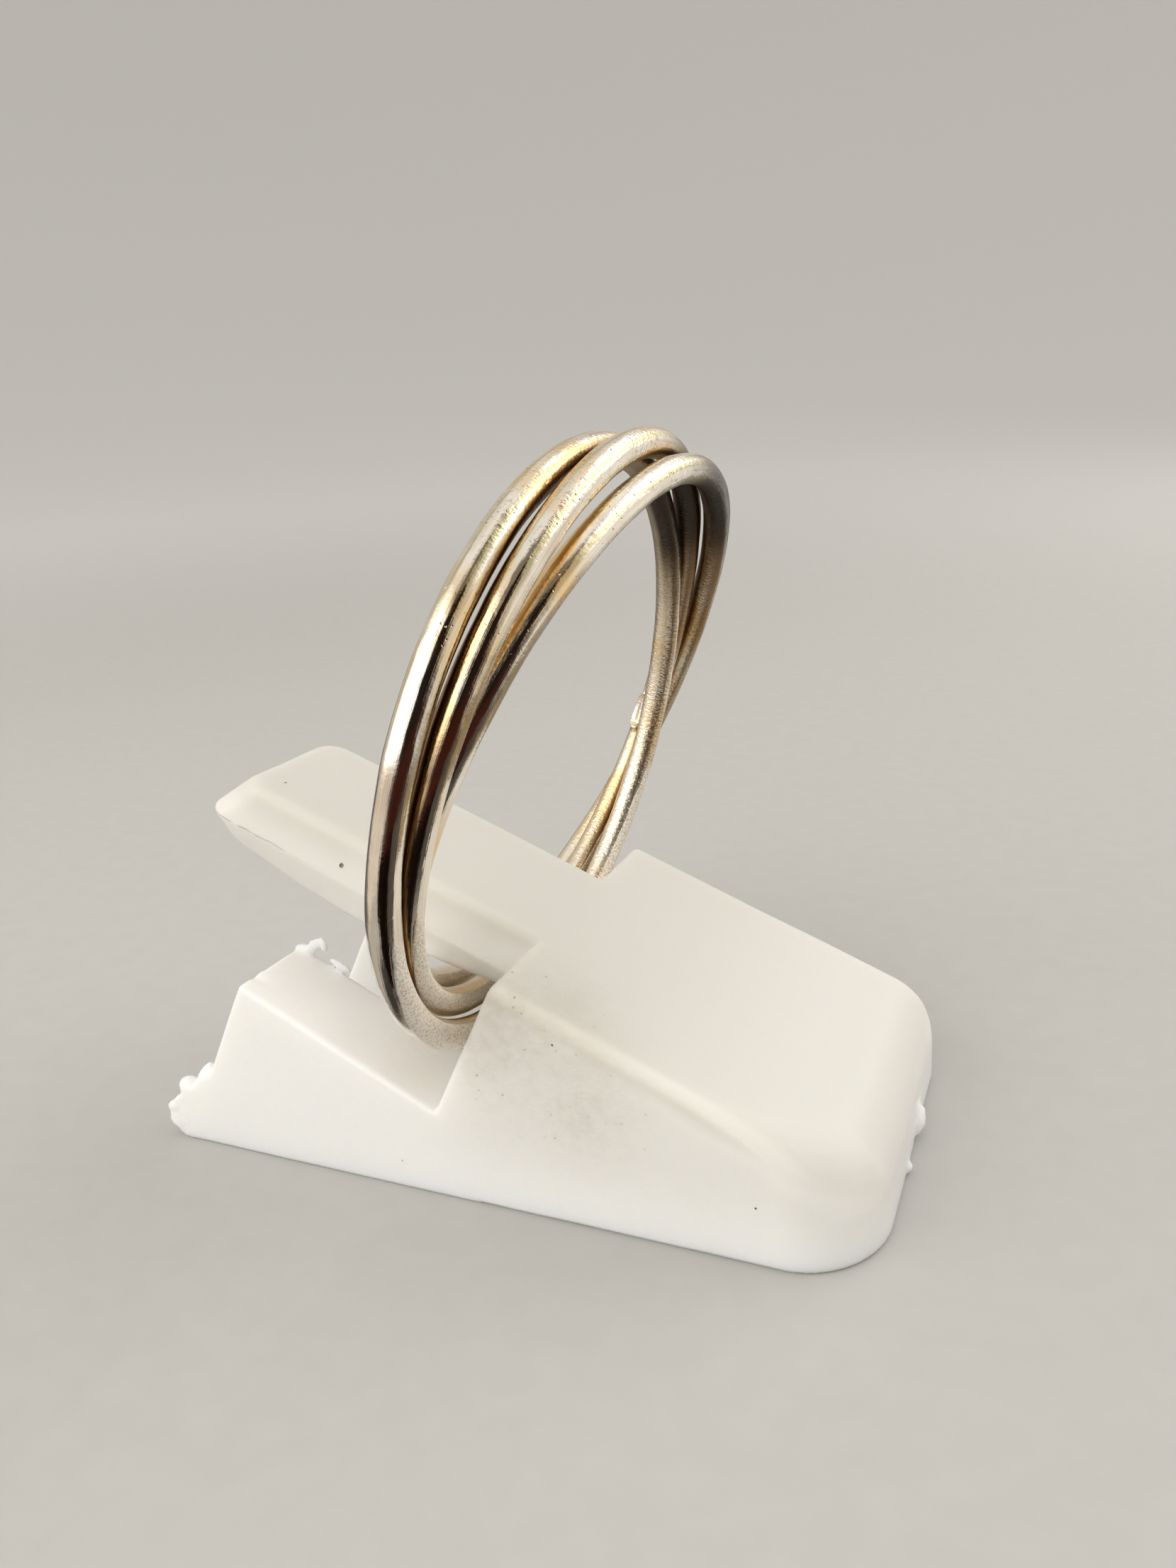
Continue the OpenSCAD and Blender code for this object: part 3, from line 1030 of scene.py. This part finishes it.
paper_sheet.data.materials.append(paper)
paper_sheet.visible_glossy = False
paper_sheet.visible_shadow = False
print("paper nodes:", len(tree.nodes))

# %% [markdown]
# Two softboxes light the ring: a wide one at the front left, and a smaller one behind, on the right.
# Area lights could have hard edges, but wire mirrors the whole shape of a lamp. So the glow fades
# towards each lamp's edges, like cloth over a real softbox, and the highlights end softly.

# %% Helpers for the lamps
TARGET = Vector((0.0, 0.0, 0.012))
EDGE_FADE = 0.3


def toward(azimuth, elevation):
    """Unit vector from the ring: azimuth 0 is the front, 90 the stand's low end."""
    a, e = math.radians(azimuth), math.radians(elevation)
    return Vector((math.sin(a) * math.cos(e), -math.cos(a) * math.cos(e), math.sin(e)))


def softbox(name, azimuth, elevation, distance, width, height, radiance, colour):
    """A rectangular area light that faces the ring. Its power follows from its brightness."""
    light = bpy.data.lights.new(name, "AREA")
    light.shape = "RECTANGLE"
    light.size, light.size_y = width, height
    light.energy = radiance * math.pi * width * height
    light.color = colour
    light.use_nodes = True
    tree = light.node_tree
    sides = tree.nodes.new("ShaderNodeSeparateXYZ")
    feed(tree, sides.inputs[0], tree.nodes.new("ShaderNodeNewGeometry").outputs["Parametric"])
    glow = 1.0
    for side in sides.outputs[:2]:
        for edge, full in ((0.0, EDGE_FADE), (1.0, 1.0 - EDGE_FADE)):
            glow = times(tree, fade(tree, side, edge, full), glow)
    feed(tree, tree.nodes["Emission"].inputs["Strength"], glow)
    lamp = bpy.data.objects.new(name, light)
    bpy.context.scene.collection.objects.link(lamp)
    lamp.location = TARGET + toward(azimuth, elevation) * distance
    lamp.rotation_euler = (TARGET - lamp.location).to_track_quat("-Z", "Y").to_euler()
    lamp.visible_camera = False
    print(name, "W:", round(light.energy, 3))


# %% Lights
softbox("key_softbox", azimuth=-30, elevation=33, distance=0.24, width=0.62, height=0.30,
        radiance=1.73, colour=(1.0, 0.985, 0.945))
softbox("rim_softbox", azimuth=132, elevation=35, distance=0.24, width=0.40, height=0.25,
        radiance=1.8, colour=(1.0, 0.985, 0.955))

# %% [markdown]
# Round wire shows everything around it as thin stripes, so most of its look is the room. A picture
# of a studio could surround it, but a few soft-edged panels are easier to place. Each panel spans
# some degrees of azimuth and elevation. The dark ones between the bright ones draw the black stripes.

# %% Surroundings: the room
world = bpy.data.worlds.new("studio")
bpy.context.scene.world = world
world.use_nodes = True
studio = world.node_tree
DEGREE = math.pi / 180
direction = studio.nodes.new("ShaderNodeTexCoord").outputs["Generated"]
split = studio.nodes.new("ShaderNodeSeparateXYZ")
feed(studio, split.inputs[0], direction)
east, north, up = split.outputs
south = times(studio, north, -1)
azimuth = math_node(studio, "DIVIDE", math_node(studio, "ARCTAN2", east, south), DEGREE)
elevation = math_node(studio, "DIVIDE", math_node(studio, "ARCSINE", up), DEGREE)
ROOM = {
    "table": (-72, -58, (0.24, 0.21, 0.18)),
    "walls": (-8, 6, (0.66, 0.60, 0.52)),
    "ceiling": (45, 66, (0.98, 0.95, 0.90)),
}
surround = (0.30, 0.26, 0.21)
for start, end, colour in ROOM.values():
    surround = mix_colour(studio, fade(studio, elevation, start, end), surround, colour)
print("room nodes:", len(studio.nodes))


# %% Surroundings: the panels
def between(value, start, end, soft):
    """1 between two angles and 0 outside them, with soft edges."""
    return times(studio, fade(studio, value, start - soft, start + soft),
                 fade(studio, value, end + soft, end - soft))


WALL_PANELS = {
    "shaded wall, left": (-150, -88, -28, -4, (0.15, 0.135, 0.13), 6),
    "table edge, left": (-90, -2, -34, 3, (0.78, 0.68, 0.57), 6),
    "table, left": (-100, -10, -60, -32, (0.50, 0.46, 0.40), 6),
    "table, left and near": (-110, -14, -88, -60, (0.05, 0.046, 0.042), 6),
    "table, front": (-14, 70, -86, -24, (0.006, 0.003, 0.002), 5),
    "table, right": (62, 112, -60, -28, (0.09, 0.075, 0.06), 8),
    "table, right and warm": (112, 152, -60, -28, (0.36, 0.27, 0.15), 8),
    "dark gap between the windows": (20, 74, -14, 46, (0.016, 0.010, 0.007), 5),
    "dark gap, upper part": (30, 84, 46, 64, (0.20, 0.17, 0.14), 7),
    "dark gap, at the table": (10, 84, -30, -5, (0.050, 0.013, 0.008), 6),
    "low light, right": (92, 176, -24, 6, (0.95, 0.90, 0.82), 8),
}
for az0, az1, el0, el1, colour, soft in WALL_PANELS.values():
    mask = times(studio, between(azimuth, az0, az1, soft), between(elevation, el0, el1, soft))
    surround = mix_colour(studio, mask, surround, colour)
feed(studio, studio.nodes["Background"].inputs["Color"], surround)
bpy.context.scene.view_settings.view_transform = "Standard"
print("panels round the ring:", len(WALL_PANELS))

# %% [markdown]
# The photograph was taken close up with a phone, a little above the stand and to the right of its
# front. The camera's place, direction and lens were fitted to points that are easy to find on both
# the photograph and the model, such as the ends of the stand's ridges. A longer lens would flatten it.

# %% Camera
CAMERA_PLACE = Vector((17.033, -33.156, 23.700)) * MM
CAMERA_AZIMUTH = math.radians(24.54)
CAMERA_ELEVATION = math.radians(16.93)
CAMERA_ROLL = math.radians(4.24)
FOCAL_LENGTH = 26.04
lens = bpy.data.cameras.new("photo_camera")
lens.lens = FOCAL_LENGTH
lens.sensor_width = 36
lens.clip_start = 0.001
camera = bpy.data.objects.new("photo_camera", lens)
bpy.context.scene.collection.objects.link(camera)
forward = Vector((-math.sin(CAMERA_AZIMUTH) * math.cos(CAMERA_ELEVATION),
                  math.cos(CAMERA_AZIMUTH) * math.cos(CAMERA_ELEVATION), -math.sin(CAMERA_ELEVATION)))
level = forward.to_track_quat("-Z", "Y").to_matrix()
rolled = (Matrix.Rotation(CAMERA_ROLL, 3, forward) @ level).to_4x4()
camera.matrix_world = Matrix.Translation(CAMERA_PLACE) @ rolled
bpy.context.scene.camera = camera
print("camera right:", [round(v, 4) for v in camera.matrix_world.col[0][:3]],
      "up:", [round(v, 4) for v in camera.matrix_world.col[1][:3]])
